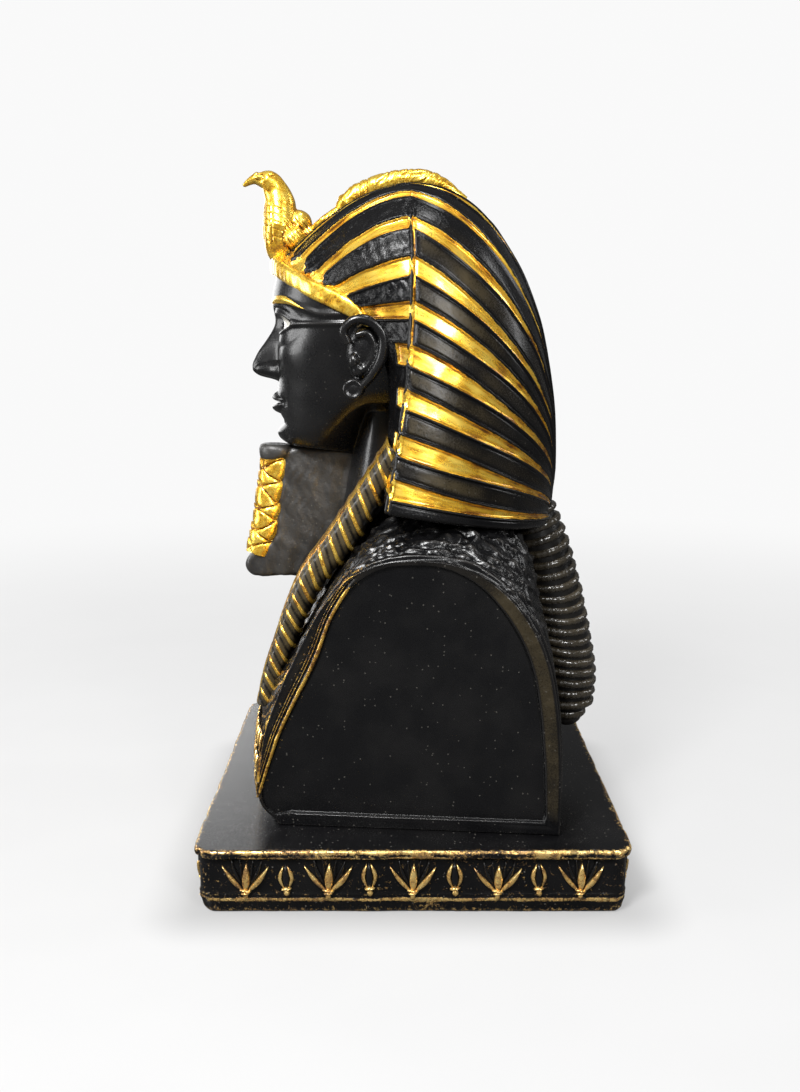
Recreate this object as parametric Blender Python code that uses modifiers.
"""Bust of a pharaoh on a plinth: a cast resin ornament about 250 mm tall.

The figure faces -Y, its left side is +X, and the origin is under the middle of the plinth.
The bust is laid out on a carver's grid: every place on it is in grid steps from the middle of
its seat on the plinth, and one step is BUST_HEIGHT / GRID_ROWS.
"""
import math

import bmesh
import bpy
import numpy as np

# Plinth, in metres.
PLINTH_WIDTH = 0.164
PLINTH_DEPTH = 0.147
PLINTH_HEIGHT = 0.023
PLINTH_CORNER = 0.007
LIP_HEIGHT = 0.0032
FOOT_HEIGHT = 0.0058
FOOT_INSET = 0.0024
FRIEZE_DEPTH = 0.0017
FOOT_ROUND = 0.0030
MOTIF_HEIGHT = 0.0118
MOTIF_PITCH = 0.0140
FRONT_MOTIF_PITCH = 0.0136
MOTIF_RELIEF = 0.0010
FRONT_MOTIF_COUNT = 11
SIDE_MOTIF_COUNT = 9
CORNER_STEP_COUNT = 4

# Bust, in metres: from the plinth's top to the top of the cobra's head.
BUST_HEIGHT = 0.2265
SEAT_GAP = 0.0003
RECESS_DEPTH = 0.0012
VOXEL = 0.0010
KEPT_SHARE = 0.0235

# The carver's grid.
GRID_ROWS = 226.5
STEP = BUST_HEIGHT / GRID_ROWS

# Stripes of the headcloth, as shares of its arch from the crown down to its foot.
STRIPE_PITCH = 0.1067
FIRST_STRIPE = 0.095
STRIPE_SHARE = 0.44
STRIPE_RELIEF = 0.9
LAPPET_RIB_COUNT = 17
BRAID_RING_COUNT = 19
BEARD_PLAIT_COUNT = 9
COLLAR_BAND_COUNT = 6
COLLAR_RELIEF = 1.0


def colour_material(name, colour, roughness, metallic=0.0):
    material = bpy.data.materials.new(name)
    material.use_nodes = True
    shader = material.node_tree.nodes["Principled BSDF"]
    shader.inputs["Base Color"].default_value = (*colour, 1.0)
    shader.inputs["Roughness"].default_value = roughness
    shader.inputs["Metallic"].default_value = metallic
    return material


def curve_through(points, shares):
    """Points on a smooth curve through the given points, at shares 0 to 1 of its length."""
    points = np.asarray(points, float)
    lengths = np.linalg.norm(np.diff(points, axis=0), axis=1)
    knots = np.concatenate([[0.0], np.cumsum(lengths)])
    slopes = np.gradient(points, knots, axis=0)
    at = np.clip(np.asarray(shares, float), 0, 1) * knots[-1]
    left = np.clip(np.searchsorted(knots, at, side="right") - 1, 0, len(points) - 2)
    span = (knots[left + 1] - knots[left])[:, None]
    t = (at - knots[left])[:, None] / span
    start, end = points[left], points[left + 1]
    rise, fall = slopes[left] * span, slopes[left + 1] * span
    return (
        start * (2 * t**3 - 3 * t**2 + 1)
        + rise * (t**3 - 2 * t**2 + t)
        + end * (3 * t**2 - 2 * t**3)
        + fall * (t**3 - t**2)
    )


def smooth_step(value, low, high):
    t = np.clip((value - low) / (high - low), 0, 1)
    return t * t * (3 - 2 * t)


def mesh_object(name, points, faces):
    """A mesh on the carver's grid, at its real size."""
    mesh = bpy.data.meshes.new(name)
    seat = np.array([0, 0, PLINTH_HEIGHT + SEAT_GAP])
    mesh.from_pydata((np.asarray(points) * STEP + seat).tolist(), [], faces)
    body = bmesh.new()
    body.from_mesh(mesh)
    bmesh.ops.remove_doubles(body, verts=body.verts, dist=1e-7)
    bmesh.ops.recalc_face_normals(body, faces=body.faces)
    body.to_mesh(mesh)
    body.free()
    piece = bpy.data.objects.new(name, mesh)
    bpy.context.scene.collection.objects.link(piece)
    return piece


def grid_faces(rows, columns, wrap=False):
    faces = []
    for i in range(rows - 1):
        for j in range(columns if wrap else columns - 1):
            k = (j + 1) % columns
            faces.append((i * columns + j, i * columns + k, (i + 1) * columns + k, (i + 1) * columns + j))
    return faces


def loft(name, rings):
    """A closed body through rings of points, with a flat fan over each end."""
    rings = np.asarray(rings, float)
    rows, columns = rings.shape[:2]
    points = rings.reshape(-1, 3).tolist()
    faces = grid_faces(rows, columns, wrap=True)
    for row in (0, rows - 1):
        points.append(rings[row].mean(axis=0).tolist())
        for j in range(columns):
            faces.append((row * columns + j, row * columns + (j + 1) % columns, len(points) - 1))
    return mesh_object(name, points, faces)


def patch_solid(name, grid, inner_point):
    """A curved patch made a body by joining its edge to a point inside the figure."""
    rows, columns = grid.shape[:2]
    points = grid.reshape(-1, 3).tolist() + [list(inner_point)]
    faces = grid_faces(rows, columns)
    top = list(range(columns))
    right = [i * columns + columns - 1 for i in range(rows)]
    bottom = [(rows - 1) * columns + j for j in reversed(range(columns))]
    left = [i * columns for i in reversed(range(rows))]
    edge = top + right[1:] + bottom[1:] + left[1:]
    for start, end in zip(edge, edge[1:]):
        faces.append((start, end, len(points) - 1))
    return mesh_object(name, points, faces)


def tube(name, path, across, along, sides=16, squareness=2.0):
    """A body round a path in a plane of constant x: across is its half width, along its half depth."""
    path = np.asarray(path, float)
    heading = np.gradient(path, axis=0)
    heading /= np.linalg.norm(heading, axis=1)[:, None]
    side = np.array([1.0, 0, 0])
    front = np.cross(heading, side)
    front /= np.linalg.norm(front, axis=1)[:, None]
    angles = np.linspace(0, 2 * math.pi, sides, endpoint=False)
    power = 2 / squareness
    wide = np.sign(np.cos(angles)) * np.abs(np.cos(angles)) ** power
    deep = np.sign(np.sin(angles)) * np.abs(np.sin(angles)) ** power
    across, along = np.broadcast_to(across, len(path)), np.broadcast_to(along, len(path))
    rings = [
        path[i] + np.outer(wide * across[i], side) + np.outer(deep * along[i], front[i])
        for i in range(len(path))
    ]
    return loft(name, rings)


def ellipsoid(name, centre, radii, tilt=0.0):
    """tilt turns it about X, in degrees."""
    bpy.ops.mesh.primitive_uv_sphere_add(segments=24, ring_count=14)
    made = bpy.context.object
    local = np.array([v.co for v in made.data.vertices]) * np.asarray(radii)
    c, s = math.cos(math.radians(tilt)), math.sin(math.radians(tilt))
    turned = local @ np.array([[1, 0, 0], [0, c, s], [0, -s, c]])
    faces = [tuple(p.vertices) for p in made.data.polygons]
    mesh = made.data
    bpy.data.objects.remove(made)
    bpy.data.meshes.remove(mesh)
    return mesh_object(name, turned + np.asarray(centre), faces)


def raised(grid, height):
    """The grid of points moved out along its own normals by the given heights."""
    across, onward = np.gradient(grid, axis=0), np.gradient(grid, axis=1)
    normal = np.cross(onward, across)
    normal /= np.maximum(np.linalg.norm(normal, axis=2), 1e-9)[..., None]
    return grid + normal * height[..., None]


# Torso

# The side cut of the shoulder, and the middle of the chest and back, as (y, z) on the grid.
SHOULDER_OUTLINE = [
    (-46, -3), (-50.5, 6), (-52, 14), (-51.5, 30), (-46.6, 45), (-38, 64), (-29, 79.5), (-20, 88.5),
    (-10, 92.8), (2, 94), (13, 93), (24, 89), (33, 82), (40.5, 72), (45.5, 60), (48.5, 45), (50, 28),
    (50, -3),
]
MIDDLE_OUTLINE = [
    (-54, -3), (-57, 7), (-58, 16), (-57, 30), (-51, 45), (-42, 59), (-34, 73), (-26, 86),
    (-17, 99), (-4, 110), (10, 114), (24, 112), (36, 104), (43, 92), (47, 76), (49.5, 56), (50, 30), (50, -3),
]
SHOULDER_X = 64.3
SHOULDER_FLARE = 0.099
# Width of the rim in front of the panel, as (height, width), then over its top and behind it.
RIM_FRONT = [(0, 2.4), (9, 2.4), (27, 5.0), (45, 6.6), (64, 6.8), (79.5, 5.0), (88.5, 3.4), (93, 2.8)]
RIM_TOP = 2.8
RIM_BACK = 6.0
RIM_FOOT = 4.2
COLLAR_TOP = 125.0
COLLAR_REACH = (78.0, 112.0)
COLLAR_PITCH = 0.085


def torso_section(share, count=72):
    """The torso's outline at a share 0 (middle) to 1 (shoulder cut) of its half width."""
    middle = curve_through(MIDDLE_OUTLINE, np.linspace(0, 1, count))
    shoulder = curve_through(SHOULDER_OUTLINE, np.linspace(0, 1, count))
    mix = abs(share) ** 2.6
    flat = middle * (1 - mix) + shoulder * mix
    x = share * (SHOULDER_X + SHOULDER_FLARE * flat[:, 0])
    return np.column_stack([x, flat])


def collar_relief(points):
    """Height of the broad collar's bands, which lie in rounded rows below the neck."""
    x, y, z = points[..., 0], points[..., 1], points[..., 2]
    fall = np.maximum(COLLAR_TOP - z, 0) * (1 + 0.9 * smooth_step(y, 5, 35))
    reach = ((np.abs(x) / COLLAR_REACH[0]) ** 4 + (fall / COLLAR_REACH[1]) ** 4) ** 0.25
    band = (1 - reach) / COLLAR_PITCH
    groove = np.abs(band - np.round(band))
    bands = smooth_step(groove, 0.06, 0.16) * (band < COLLAR_BAND_COUNT + 0.5)
    return COLLAR_RELIEF * (0.35 + 0.65 * bands) * smooth_step(band, 0.0, 0.12)


def torso():
    """The body of the bust; it runs past the shoulder planes and the seat, which are cut flat."""
    shares = np.sin(np.linspace(-1, 1, 53) * math.pi / 2)
    sections = np.array([torso_section(s) for s in shares])
    spare = sections[[0, -1]].copy()
    spare[:, :, 0] *= 1.03
    sections = raised(sections, collar_relief(sections))
    return loft("torso", np.concatenate([spare[:1], sections, spare[1:]]))


def shoulder_plane(side, points, out):
    """(y, z) points laid on the plane of the shoulder cut, moved out by a distance."""
    points = np.asarray(points, float)
    x = SHOULDER_X + SHOULDER_FLARE * points[:, 0] + out
    return np.column_stack([side * x, points])


def panel_outline():
    outline = torso_section(1.0)[:, 1:]
    centre = np.array([0.0, 40.0])
    outward = outline - centre
    outward /= np.linalg.norm(outward, axis=1)[:, None]
    front = np.interp(outline[:, 1], *zip(*RIM_FRONT))
    back = RIM_TOP + (RIM_BACK - RIM_TOP) * smooth_step(outline[:, 0], 5, 42)
    margin = np.where(outline[:, 0] < 0, front, back)
    inner = outline - outward * margin[:, None]
    inner[:, 1] = np.maximum(inner[:, 1], RIM_FOOT)
    return inner[::2]


def flat_cutters():
    """Bodies that cut the shoulder planes, the sunk panel in each, and the flat seat."""
    sink = RECESS_DEPTH / STEP
    far = 30.0
    block = [(-90, -20), (-90, 130), (90, 130), (90, -20)]
    cutters = []
    for side in (-1, 1):
        outer = shoulder_plane(side, block, far)
        cutters.append(loft("shoulder_cut", [shoulder_plane(side, block, 0), outer]))
        panel = panel_outline()
        outer = shoulder_plane(side, panel, far)
        cutters.append(loft("panel_cut", [shoulder_plane(side, panel, -sink), outer]))
    seat = [[(-90, -90, z), (90, -90, z), (90, 90, z), (-90, 90, z)] for z in (-20, 0)]
    cutters.append(loft("seat_cut", seat))
    return cutters


# Headcloth

CROWN_ARCH_TOP = 222.0
CLOTH_FOOT = np.array([60.5, -8.6, 110.0])
# The arch over the crown seen from in front, as shares of its half width and of its height over the foot.
CROWN_ARCH_SHARES = [
    (0, 1), (0.3306, 0.9688), (0.5620, 0.8750), (0.6942, 0.7679), (0.7769, 0.6339), (0.8347, 0.4732),
    (0.8926, 0.3214), (0.9504, 0.1607), (1, 0),
]
CROWN_ARCH = [
    (wide * CLOTH_FOOT[0], CLOTH_FOOT[2] + high * (CROWN_ARCH_TOP - CLOTH_FOOT[2]))
    for wide, high in CROWN_ARCH_SHARES
]
TAIL_ROOT = np.array([1.5, 52.0, 99.0])
BACK_REACH = 54.3
BACK_CENTRE = 115.0
BACK_SQUARENESS = 2.15
RIDGE_BOW = 4.0
FACE_EDGE = [
    (0, -50.5, 191.5), (9, -49, 191), (18, -44.5, 188), (26, -37, 183.5), (32, -27.5, 179),
    (35.5, -19, 174.5), (36.5, -13, 167), (35.5, -9, 156), (33, -8, 142), (31, -9, 128), (31, -11, 114),
]


def cloth_back(turn, arch):
    """A point row of the headcloth behind its ridge; turn 0 is the ridge and 1 the root of the braid."""
    angle = turn * math.pi / 2
    power = 2 / BACK_SQUARENESS
    apex = np.array([
        BACK_REACH * math.sin(angle) ** power,
        BACK_CENTRE + (CROWN_ARCH_TOP - BACK_CENTRE) * max(math.cos(angle), 0.0) ** power,
    ])
    foot_x = TAIL_ROOT[0] + (CLOTH_FOOT[0] - TAIL_ROOT[0]) * math.cos(angle)
    foot = np.array([
        CLOTH_FOOT[1] + (TAIL_ROOT[1] - CLOTH_FOOT[1]) * math.sin(angle),
        CLOTH_FOOT[2] + (TAIL_ROOT[2] - CLOTH_FOOT[2]) * math.sin(angle),
    ])
    wide = arch[:, 0] / CLOTH_FOOT[0]
    high = (arch[:, 1] - CLOTH_FOOT[2]) / (CROWN_ARCH_TOP - CLOTH_FOOT[2])
    bow = RIDGE_BOW * (1 - turn) * np.sin(math.pi * np.clip(high, 0, 1)) * smooth_step(wide, 0.2, 0.7)
    flat = foot + np.outer(high, apex - foot)
    flat[:, 0] += bow
    return np.column_stack([wide * foot_x, flat])


def cloth_front(share, arch, face_edge):
    """A point row of the headcloth before its ridge; share 0 is the face's edge and 1 the ridge."""
    ridge = cloth_back(0.0, arch)
    down = np.linspace(0, 1, len(arch))
    flatness = smooth_step(down, 0.30, 0.60)[:, None]
    swell = 1 - (1 - share) ** 1.8
    rise = swell * (1 - flatness) + share * flatness
    mix = np.hstack([rise, np.full_like(rise, share), rise])
    return face_edge + (ridge - face_edge) * mix


def stripe_relief(down):
    """Height of the stripes across the cloth, for shares of the arch from crown to foot."""
    place = (down - FIRST_STRIPE) / STRIPE_PITCH
    distance = np.abs(place - np.round(place))
    return 1 - smooth_step(distance, STRIPE_SHARE / 2 - 0.06, STRIPE_SHARE / 2 + 0.06)


def headcloth():
    down = np.linspace(0, 1, 90)
    arch = curve_through(CROWN_ARCH, down)
    face_edge = curve_through(FACE_EDGE, down)
    columns = [cloth_front(s, arch, face_edge) for s in np.linspace(0, 1, 9)[:-1]]
    columns += [cloth_back(t, arch) for t in np.linspace(0, 1, 22)]
    half = np.stack(columns, axis=1)
    height = np.repeat(STRIPE_RELIEF * stripe_relief(down)[:, None], half.shape[1], axis=1)
    half = raised(half, height)
    half[0, :, 0] = 0
    other = half[:0:-1] * np.array([-1, 1, 1])
    return patch_solid("headcloth", np.concatenate([other, half]), (0, -4, 128))


def brow_band():
    """The plain band that holds the cloth over the forehead, from ear to ear."""
    line = curve_through(FACE_EDGE[:6], np.linspace(0, 1, 16))
    half_height, half_depth = 3.8, 1.7
    rings = []
    for x, y, z in np.concatenate([line[:0:-1] * np.array([-1, 1, 1]), line]):
        out = np.array([x, y + 12, 0]) / math.hypot(x, y + 12)
        middle = np.array([x, y, z + 0.8])
        rings.append([
            middle + out * half_depth * math.cos(angle) + np.array([0, 0, half_height * math.sin(angle)])
            for angle in np.linspace(0, 2 * math.pi, 10, endpoint=False)
        ])
    return loft("brow_band", rings)


def lappet(side):
    """A striped end of the headcloth that falls over the chest."""
    front = [
        (34, -9, 131), (32, -14, 123), (30, -22, 111), (28.5, -31, 97.5), (27.5, -40.5, 84),
        (26.5, -45.5, 72.7), (25.5, -50, 59.6), (25, -54, 48), (24.5, -57, 35),
    ]
    steps = LAPPET_RIB_COUNT * 4
    shares = np.linspace(0, 1, steps + 1)
    thickness = np.interp(shares, [0, 0.3, 0.6, 1], [9.0, 10.6, 9.2, 7.6])
    line = curve_through(front, shares)
    ribs = 0.5 + 0.5 * np.cos(2 * math.pi * shares * LAPPET_RIB_COUNT)
    heading = np.gradient(line, axis=0)
    heading /= np.linalg.norm(heading, axis=1)[:, None]
    inward = np.cross(heading, np.array([1.0, 0, 0]))
    line = line + inward * np.sign(inward[:, 1:2]) * (thickness / 2)[:, None]
    width = np.interp(shares, [0, 0.5, 1], [14, 11.5, 9.5]) + 0.5 * ribs
    depth = thickness / 2 + 0.5 * ribs
    piece_line = line * np.array([side, 1, 1])
    return tube("lappet", piece_line, width, depth, sides=20, squareness=3.0)


# Head

HEAD_HEIGHT = 93.0
CHIN_Z = 125.0
HEAD_Y = -12.0
# (height above the chin, depth before the head's axis) down the middle of the face, and half widths.
FRONT_DEPTH = [
    (-40, 31), (-2, 31), (2, 34.2), (7, 36.2), (12, 36.4), (18, 36.8), (27, 37.2), (36, 37.2), (46, 37.0),
    (54, 38.4), (62, 38.0), (70, 35.5), (80, 25), (88, 12),
]
HALF_WIDTH = [
    (-40, 18), (-2, 18), (3, 21.0), (10, 25.0), (20, 28.6), (30, 31.4), (42, 33.2), (54, 33.6), (64, 33.0),
    (72, 30.0), (80, 22), (88, 12),
]


def profile_at(knots, places):
    knots = np.asarray(knots, float)
    slopes = np.gradient(knots[:, 1], knots[:, 0])
    places = np.clip(places, knots[0, 0], knots[-1, 0])
    i = np.clip(np.searchsorted(knots[:, 0], places, side="right") - 1, 0, len(knots) - 2)
    span = knots[i + 1, 0] - knots[i, 0]
    t = (places - knots[i, 0]) / span
    return (
        knots[i, 1] * (2 * t**3 - 3 * t**2 + 1)
        + slopes[i] * span * (t**3 - 2 * t**2 + t)
        + knots[i + 1, 1] * (3 * t**2 - 2 * t**3)
        + slopes[i + 1] * span * (t**3 - t**2)
    )


def swelling(x, z, centre, spread):
    return np.exp(-(((x - centre[0]) / spread[0]) ** 2) - ((z - centre[1]) / spread[1]) ** 2)


def eye_relief(side, height, eye):
    """Socket, ball, lids and the fold above; side is the distance from the middle line."""
    across = (side - 13.6) / 8.4
    lid_line = eye - 0.2 + 0.35 * across
    upper = height > lid_line
    opening = np.where(upper, 3.3, 2.3) * np.clip(1 - np.abs(across) ** 2.2, 0, 1) ** 0.8
    edge = np.abs(height - lid_line) - opening
    ball = np.clip(1 - ((side - 13.6) / 11.5) ** 2 - ((height - eye) / 8.5) ** 2, 0, 1) ** 1.35
    relief = 4.0 * ball
    relief -= 4.6 * swelling(side, height, (11.5, eye - 0.2), (8.5, 5.4))
    relief -= 2.2 * swelling(side, height, (5.5, eye + 1.5), (3.2, 4.5))
    relief -= 0.75 * smooth_step(-edge, -0.25, 0.35) * (np.abs(across) < 1)
    lid = np.exp(-(((edge - 0.75) / 0.62) ** 2)) * smooth_step(1.28 - np.abs(across), 0, 0.25)
    relief += 0.75 * lid * np.where(upper, 1.0, 0.7)
    fold = np.exp(-(((edge - 2.5) / 0.55) ** 2)) * upper * smooth_step(1.05 - np.abs(across), 0, 0.3)
    return relief - 0.5 * fold


def nose_relief(side, height, base):
    """base is the height of the underside of the nose."""
    ridge = profile_at(
        [
            (-40, 0), (base - 9, 0), (base - 3, 0), (base - 1.2, 0.5), (base - 0.4, 2.6), (base + 0.6, 6.6),
            (base + 2.2, 9.4), (base + 4.4, 10.2), (base + 8, 9.0), (base + 14, 5.4), (base + 20, 2.6),
            (base + 25, 1.2), (base + 31, 0.0), (90, 0),
        ],
        height,
    )
    up = height - base
    flat = profile_at([(-66, 1.6), (0, 1.7), (4, 2.0), (9, 1.5), (18, 1.4), (64, 3)], up)
    foot = profile_at([(-66, 6.2), (0, 6.4), (4, 7.0), (9, 6.4), (18, 6.0), (64, 10)], up)
    relief = np.maximum(ridge, 0) * (1 - smooth_step(side, flat - 1.4, foot))
    wing = np.clip(1 - ((side - 5.4) / 3.5) ** 2 - ((height - base - 3.2) / 3.6) ** 2, 0, 1)
    return relief + 3.2 * wing - 1.3 * swelling(side, height, (3.3, base - 0.3), (1.6, 1.1))


def mouth_relief(side, height, mouth):
    width = 10.6
    shape = np.clip(1 - (side / width) ** 2, 0, 1) ** 0.6
    line = mouth + 0.5 * (side / width) ** 2
    bow = 0.55 * swelling(side, 0, (3.0, 0), (2.2, 1)) - 0.35 * swelling(side, 0, (0, 0), (1.4, 1))
    upper = np.clip((height - line) / (3.7 * shape + 0.01 + bow), 0, 1)
    lower = np.clip((line - height) / (4.3 * shape + 0.01), 0, 1)
    relief = 1.5 * swelling(side, height, (0, mouth + 0.5), (11.5, 6.5))
    relief += (1.9 * np.sin(upper * math.pi) ** 0.75 + 2.3 * np.sin(lower * math.pi) ** 0.7) * shape
    relief -= 0.8 * np.exp(-(((height - line) / 0.6) ** 2)) * smooth_step(width + 0.6 - side, 0, 2.0)
    relief -= 0.9 * swelling(side, height, (width + 1, mouth + 0.6), (1.8, 1.8))
    relief -= 1.7 * swelling(side, height, (0, mouth - 7.2), (8.5, 2.3))
    return relief - 0.7 * swelling(side, height, (0, mouth + 6.4), (1.5, 3.2))


def head_surface(turns, heights):
    """Points of the head by the canon of 3.5 units; turn 0 is ahead, heights run up from the chin."""
    unit = HEAD_HEIGHT / 3.5
    brow, eye, nose, mouth = 2.0 * unit, 1.75 * unit, unit, 0.67 * unit
    h, turn = np.meshgrid(heights, turns, indexing="ij")
    sine, cosine = np.sin(turn), np.cos(turn)
    depth = np.where(cosine > 0, profile_at(FRONT_DEPTH, h), np.minimum(40.0, 6 + 1.3 * (95 - h)))
    squareness = 2.25
    width = profile_at(HALF_WIDTH, h)
    oval = (np.abs(sine) / width) ** squareness + (np.abs(cosine) / depth) ** squareness
    skull = oval ** (-1 / squareness)
    neck_depth = np.where(cosine > 0, 10.0 - 0.2 * h, 26.0)
    neck = ((sine / 21.0) ** 2 + (cosine / neck_depth) ** 2) ** -0.5
    jaw = 17 * smooth_step(np.abs(turn), 0.45, 1.5)
    above_jaw = smooth_step(h, jaw - 1.5, jaw + 2.0)
    under = np.clip(1 - (h - jaw) / 7.0, 0, 1) ** 2 * (h >= jaw - 2)
    reach = neck + (skull * (1 - 0.10 * under) - neck) * above_jaw
    x, forward = reach * sine, reach * cosine
    side = np.abs(x)
    relief = 1.3 * swelling(side, h, (12, brow + 1.5), (13, 4.5))
    relief += 1.8 * swelling(side, h, (19, 0.4 * HEAD_HEIGHT), (9, 8))
    relief += 2.6 * swelling(side, h, (0, 4.8), (8.0, 4.6))
    relief += eye_relief(side, h, eye) + nose_relief(side, h, nose) + mouth_relief(side, h, mouth)
    forward = forward + relief * smooth_step(cosine, 0.05, 0.35) * above_jaw
    eye_tail = np.exp(-(((h - eye) / 0.95) ** 2)) * smooth_step(side, 20.5, 22.5)
    arch = 3.0 * np.sin(np.clip((side - 3.5) / 26, 0, 1) * math.pi) ** 0.8 - 2.4 * smooth_step(side, 20, 31)
    brow_line = np.exp(-(((h - brow + 1.0 - arch) / 1.15) ** 2)) * smooth_step(side, 3.2, 6.0)
    line = (0.75 * eye_tail + 0.8 * brow_line) * smooth_step(cosine, 0.12, 0.30) * above_jaw
    return np.stack([x + line * sine, forward + line * np.maximum(cosine, 0), h], axis=-1)


def front_weighted_turns(count):
    even = np.linspace(-1, 1, count, endpoint=False)
    return math.pi * (0.3 * even + 0.7 * np.sign(even) * np.abs(even) ** 2.2)


def head():
    neck, face, crown = np.linspace(-34, -4, 8), np.linspace(-4, 62, 95), np.linspace(62, 88, 12)
    heights = np.concatenate([neck[:-1], face[:-1], crown])
    surface = head_surface(front_weighted_turns(160), heights)
    placed = np.stack([surface[..., 0], HEAD_Y - surface[..., 1], CHIN_Z + surface[..., 2]], axis=-1)
    return loft("head", placed)


EAR_PLACE = np.array([37.5, -16.5, 162.0])
EAR_RIM_RADIUS = 2.0
# The rim's middle line as (back, up) from the ear's place, from the temple round to the lobe.
EAR_RIM = [(-5.5, 3), (-7, 7.5), (-3.8, 10.6), (2.4, 10.4), (6.5, 6), (6, -1.5), (2, -9), (-2.5, -13)]


def ear(side):
    """The rim as a bent tube, a bowl behind it and a round stud in the lobe."""
    place = EAR_PLACE * np.array([side, 1, 1])
    line = curve_through(EAR_RIM, np.linspace(0, 1, 24))
    path = place + np.column_stack([np.full(len(line), side), line])
    heading = np.gradient(path, axis=0)
    heading /= np.linalg.norm(heading, axis=1)[:, None]
    across = np.cross(heading, np.array([1.0, 0, 0]))
    angles = np.linspace(0, 2 * math.pi, 10, endpoint=False)
    ring = EAR_RIM_RADIUS * np.column_stack([np.cos(angles), np.sin(angles)])
    sideways = np.outer(ring[:, 0], [1, 0, 0])
    rings = [point + sideways + np.outer(ring[:, 1], out) for point, out in zip(path, across)]
    bowl = place + np.array([-3 * side, 0.5, 1])
    stud = place + np.array([0, -4.5, -13])
    return [
        loft("ear_rim", rings),
        ellipsoid("ear_bowl", bowl, (4.5, 7.2, 11.4), tilt=-8),
        ellipsoid("ear_fold", place + np.array([0, -1, -2.5]), (2.8, 2.6, 4)),
        ellipsoid("ear_stud", stud, (3.2, 4.4, 3.9)),
    ]


# Beard, cobra and braid

def beard():
    """The plaited false beard, its strap at the chin and the plate that holds it to the chest."""
    shares = np.linspace(0, 1, BEARD_PLAIT_COUNT * 4 + 1)
    line = curve_through([(0, -50.8, 124), (0, -53, 110), (0, -55.3, 96), (0, -58.5, 85)], shares)
    plaits = np.abs(np.sin(math.pi * shares * BEARD_PLAIT_COUNT)) ** 0.7
    radius = np.interp(shares, [0, 0.7, 1], [5.0, 4.5, 3.0]) + 0.8 * plaits
    pieces = [tube("beard", line, radius, radius, sides=14)]
    strap = [(0, -51.5, 126.5), (0, -50.5, 121.5)]
    pieces.append(tube("beard_strap", strap, 7.2, 7.0, sides=20))
    plate = [
        (-55, 86), (-62.8, 84), (-63.6, 80.5), (-62, 77.2), (-56, 76.5), (-44, 76.5), (-30, 72), (-12, 88),
        (-14, 122), (-34, 126), (-47, 126), (-50, 110),
    ]
    half = 5.0
    pieces.append(loft("beard_plate", [[(x, y, z) for y, z in plate] for x in (-half, half)]))
    return pieces


# The cobra's middle line as (back, up) from the middle of the brow, and its half widths along it.
COBRA_LINE = [(5.2, 1.5), (2.4, 10.5), (2.3, 18.5), (1.7, 25.5), (-1.6, 31), (-6.5, 32.2)]
COBRA_SHARES = [0, 0.15, 0.4, 0.62, 0.75, 0.88, 1]
COBRA_WIDE = [4.0, 5.4, 7.2, 5.2, 3.8, 3.9, 2.0]
COBRA_DEEP = [4.4, 5.9, 6.0, 5.3, 4.4, 3.9, 1.8]
COBRA_SNOUT = [(-5, 32.7), (-8.4, 31), (-10.8, 29.7)]
COILS = [(0, 9.5, 16.5, 5.0), (4.5, 8, 10.5, 4.8), (-4.5, 8, 10.5, 4.8)]
CROWN_TAIL_PROUD = 1.5
CROWN_TAIL_SWAY = 2.2


def cobra():
    """The rearing cobra at the brow, and its body lying over the crown."""
    brow = np.array(FACE_EDGE[0], float)
    crown = np.array([[0.0, CROWN_ARCH_TOP]])
    shares = np.linspace(0, 1, 28)
    path = brow + np.column_stack([np.zeros(28), curve_through(COBRA_LINE, shares)])
    wide = np.interp(shares, COBRA_SHARES, COBRA_WIDE)
    deep = np.interp(shares, COBRA_SHARES, COBRA_DEEP)
    pieces = [tube("cobra_hood", path, wide, deep, sides=16)]
    snout = [brow + np.array([0, back, up]) for back, up in COBRA_SNOUT]
    pieces.append(tube("cobra_snout", snout, [3.0, 2.0, 0.7], [2.4, 1.5, 0.5], sides=12))
    for x, back, up, size in COILS:
        place = brow + np.array([x, back, up])
        pieces.append(ellipsoid("cobra_coil", place, (size, size * 0.9, size), tilt=30))
    middle = [cloth_front(s, crown, brow[None])[0] for s in (0.24, 0.36, 0.5, 0.75)]
    middle += [cloth_back(t, crown)[0] for t in (0.03, 0.12, 0.22)]
    shares = np.linspace(0, 1, 40)
    tail = curve_through(middle, shares)
    tail[:, 2] += CROWN_TAIL_PROUD * (1 - smooth_step(shares, 0.75, 1))
    tail[:, 0] = CROWN_TAIL_SWAY * np.sin(shares * math.pi * 4) * (1 - shares)
    tail[:, 2] -= 1.3 * (1 - smooth_step(shares, 0.22, 0.28))
    radius = np.interp(shares, [0, 0.22, 0.28, 0.36, 0.8, 1], [1.2, 1.4, 3.0, 3.7, 3.1, 1.2])
    pieces.append(tube("cobra_tail", tail, radius, radius, sides=12))
    return pieces


def braid():
    """The bound tail of the cloth, with a ring for each turn of its binding, and the knot above it."""
    middle = [
        (0, 44.5, 103), (0, 49.5, 88), (0, 53.5, 74), (0, 57.5, 58),
        (0, 60.3, 44), (0, 61.3, 30), (0, 61.0, 20),
    ]
    line = curve_through(middle, np.linspace(0, 1, BRAID_RING_COUNT * 4 + 1))
    shares = np.linspace(0, 1, len(line))
    rings = 0.5 - 0.5 * np.cos(2 * math.pi * shares * BRAID_RING_COUNT)
    base = np.interp(shares, [0, 0.15, 0.8, 0.93, 1], [9.5, 10.2, 10.6, 9.3, 5.5])
    tail = tube("braid", line, base + 1.1 * rings, base - 0.4 + 1.1 * rings, sides=20)
    return [tail, ellipsoid("braid_knot", (0, 44.5, 103), (11.0, 9.5, 8))]


# Assembly

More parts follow.
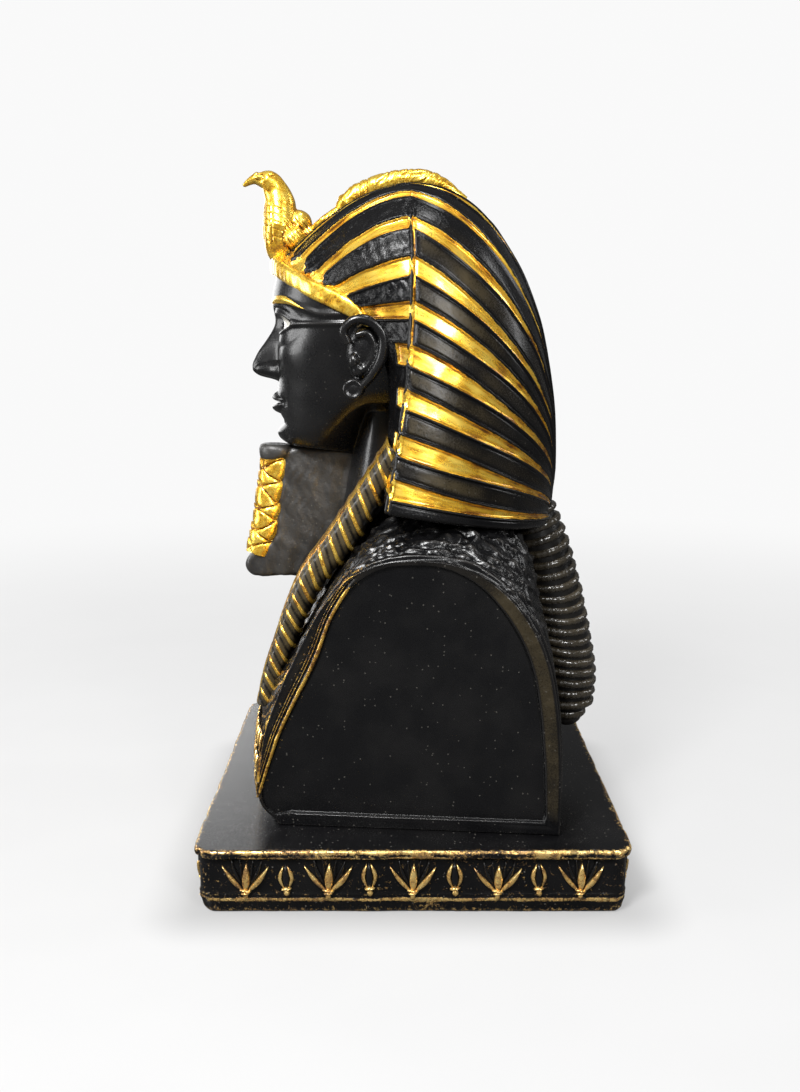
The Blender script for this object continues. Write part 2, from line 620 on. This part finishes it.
def join_pieces(name, pieces):
    """One mesh from many closed ones, made a single skin by the modifiers that follow."""
    joined = bmesh.new()
    for piece in pieces:
        joined.from_mesh(piece.data)
        mesh = piece.data
        bpy.data.objects.remove(piece)
        bpy.data.meshes.remove(mesh)
    mesh = bpy.data.meshes.new(name)
    joined.to_mesh(mesh)
    joined.free()
    return bpy.data.objects.new(name, mesh)


def bust(material, cutters):
    pieces = [torso(), headcloth(), brow_band(), head()]
    for side in (-1, 1):
        pieces.append(lappet(side))
        pieces.extend(ear(side))
    pieces.extend(beard())
    pieces.extend(cobra())
    pieces.extend(braid())
    figure = join_pieces("bust", pieces)
    skin = figure.modifiers.new("one_skin", "REMESH")
    skin.mode = "VOXEL"
    skin.voxel_size = VOXEL
    thin = figure.modifiers.new("fewer_faces", "DECIMATE")
    thin.ratio = KEPT_SHARE
    for cutter in cutters:
        cut = figure.modifiers.new(cutter.name, "BOOLEAN")
        cut.operation = "DIFFERENCE"
        cut.solver = "EXACT"
        cut.object = cutter
    figure.data.materials.append(material)
    return figure


def rounded_rectangle(half_x, half_y, corner, z):
    ring = []
    for quarter, (sx, sy) in enumerate([(1, 1), (-1, 1), (-1, -1), (1, -1)]):
        for k in range(CORNER_STEP_COUNT + 1):
            angle = math.radians(90 * quarter + 90 * k / CORNER_STEP_COUNT)
            x = sx * (half_x - corner) + corner * math.cos(angle)
            y = sy * (half_y - corner) + corner * math.sin(angle)
            ring.append((x, y, z))
    return ring


def lotus_outline():
    """An open lotus in shares of its height: a broad middle petal between two that lean out."""
    right = [(0.13, 0.0), (0.30, 0.30), (0.66, 0.86), (0.20, 0.50), (0.21, 0.72)]
    return right + [(0.0, 1.0)] + [(-x, z) for x, z in reversed(right)]


def bud_outline():
    right = [(0.08, 0.0), (0.17, 0.34), (0.13, 0.70)]
    return right + [(0.0, 0.92)] + [(-x, z) for x, z in reversed(right)]


def frieze():
    """Lotus flowers and buds in turn along each side, as one body of separate raised shapes."""
    middle = (FOOT_HEIGHT + PLINTH_HEIGHT - LIP_HEIGHT) / 2
    motifs = bmesh.new()
    for turn, count, pitch, reach in (
        (0, FRONT_MOTIF_COUNT, FRONT_MOTIF_PITCH, PLINTH_DEPTH / 2),
        (1, SIDE_MOTIF_COUNT, MOTIF_PITCH, PLINTH_WIDTH / 2),
        (2, FRONT_MOTIF_COUNT, FRONT_MOTIF_PITCH, PLINTH_DEPTH / 2),
        (3, SIDE_MOTIF_COUNT, MOTIF_PITCH, PLINTH_WIDTH / 2),
    ):
        face = reach - FRIEZE_DEPTH
        c, s = round(math.cos(turn * math.pi / 2)), round(math.sin(turn * math.pi / 2))
        for k in range(count):
            place = (k - (count - 1) / 2) * pitch
            outline = lotus_outline() if k % 2 == 0 else bud_outline()
            ring = []
            for out in (face - MOTIF_RELIEF, face + MOTIF_RELIEF):
                level = []
                for along, up in outline:
                    x = place + along * MOTIF_HEIGHT
                    z = middle + (up - 0.5) * MOTIF_HEIGHT
                    level.append(motifs.verts.new((c * x + s * out, s * x - c * out, z)))
                ring.append(level)
            inner, outer = ring
            for j in range(len(outline)):
                following = (j + 1) % len(outline)
                motifs.faces.new((inner[j], inner[following], outer[following], outer[j]))
            motifs.faces.new(list(reversed(inner)))
            motifs.faces.new(outer)
    bmesh.ops.recalc_face_normals(motifs, faces=motifs.faces)
    mesh = bpy.data.meshes.new("frieze")
    motifs.to_mesh(mesh)
    motifs.free()
    return bpy.data.objects.new("frieze", mesh)


def plinth(material, motifs):
    """A rounded slab with a lip round its top, a heavier foot, and a sunk frieze between them."""
    lip_foot = PLINTH_HEIGHT - LIP_HEIGHT
    slope = FRIEZE_DEPTH * 0.4
    edge = LIP_HEIGHT * 0.2
    levels = [
        (FOOT_INSET + FOOT_ROUND, 0.0), (FOOT_INSET + FOOT_ROUND * 0.3, FOOT_ROUND * 0.3),
        (FOOT_INSET, FOOT_ROUND), (FOOT_INSET * 0.6, FOOT_HEIGHT), (FRIEZE_DEPTH, FOOT_HEIGHT + slope),
        (FRIEZE_DEPTH, lip_foot - slope), (0.0, lip_foot), (0.0, PLINTH_HEIGHT - edge),
        (edge, PLINTH_HEIGHT),
    ]
    slab = bmesh.new()
    rings = []
    for inset, z in levels:
        ring = rounded_rectangle(PLINTH_WIDTH / 2 - inset, PLINTH_DEPTH / 2 - inset, PLINTH_CORNER - inset, z)
        rings.append([slab.verts.new(point) for point in ring])
    for lower, upper in zip(rings, rings[1:]):
        for j in range(len(lower)):
            k = (j + 1) % len(lower)
            slab.faces.new((lower[j], lower[k], upper[k], upper[j]))
    slab.faces.new(list(reversed(rings[0])))
    slab.faces.new(rings[-1])
    mesh = bpy.data.meshes.new("plinth")
    slab.to_mesh(mesh)
    slab.free()
    mesh.materials.append(material)
    base = bpy.data.objects.new("plinth", mesh)
    raised_motifs = base.modifiers.new("raised_motifs", "BOOLEAN")
    raised_motifs.operation = "UNION"
    raised_motifs.solver = "EXACT"
    raised_motifs.object = motifs
    return base


def main():
    for thing in list(bpy.data.objects):
        bpy.data.objects.remove(thing)
    resin = colour_material("black_resin", (0.012, 0.012, 0.013), 0.35)
    part = bpy.data.collections.new("pharaoh_bust")
    tools = bpy.data.collections.new("cutters")
    for collection in (part, tools):
        bpy.context.scene.collection.children.link(collection)
    cutters = flat_cutters()
    motifs = frieze()
    for cutter in cutters:
        bpy.context.scene.collection.objects.unlink(cutter)
    for cutter in [*cutters, motifs]:
        tools.objects.link(cutter)
        cutter.hide_render = True
        cutter.display_type = "WIRE"
    for piece in (bust(resin, cutters), plinth(resin, motifs)):
        part.objects.link(piece)


main()
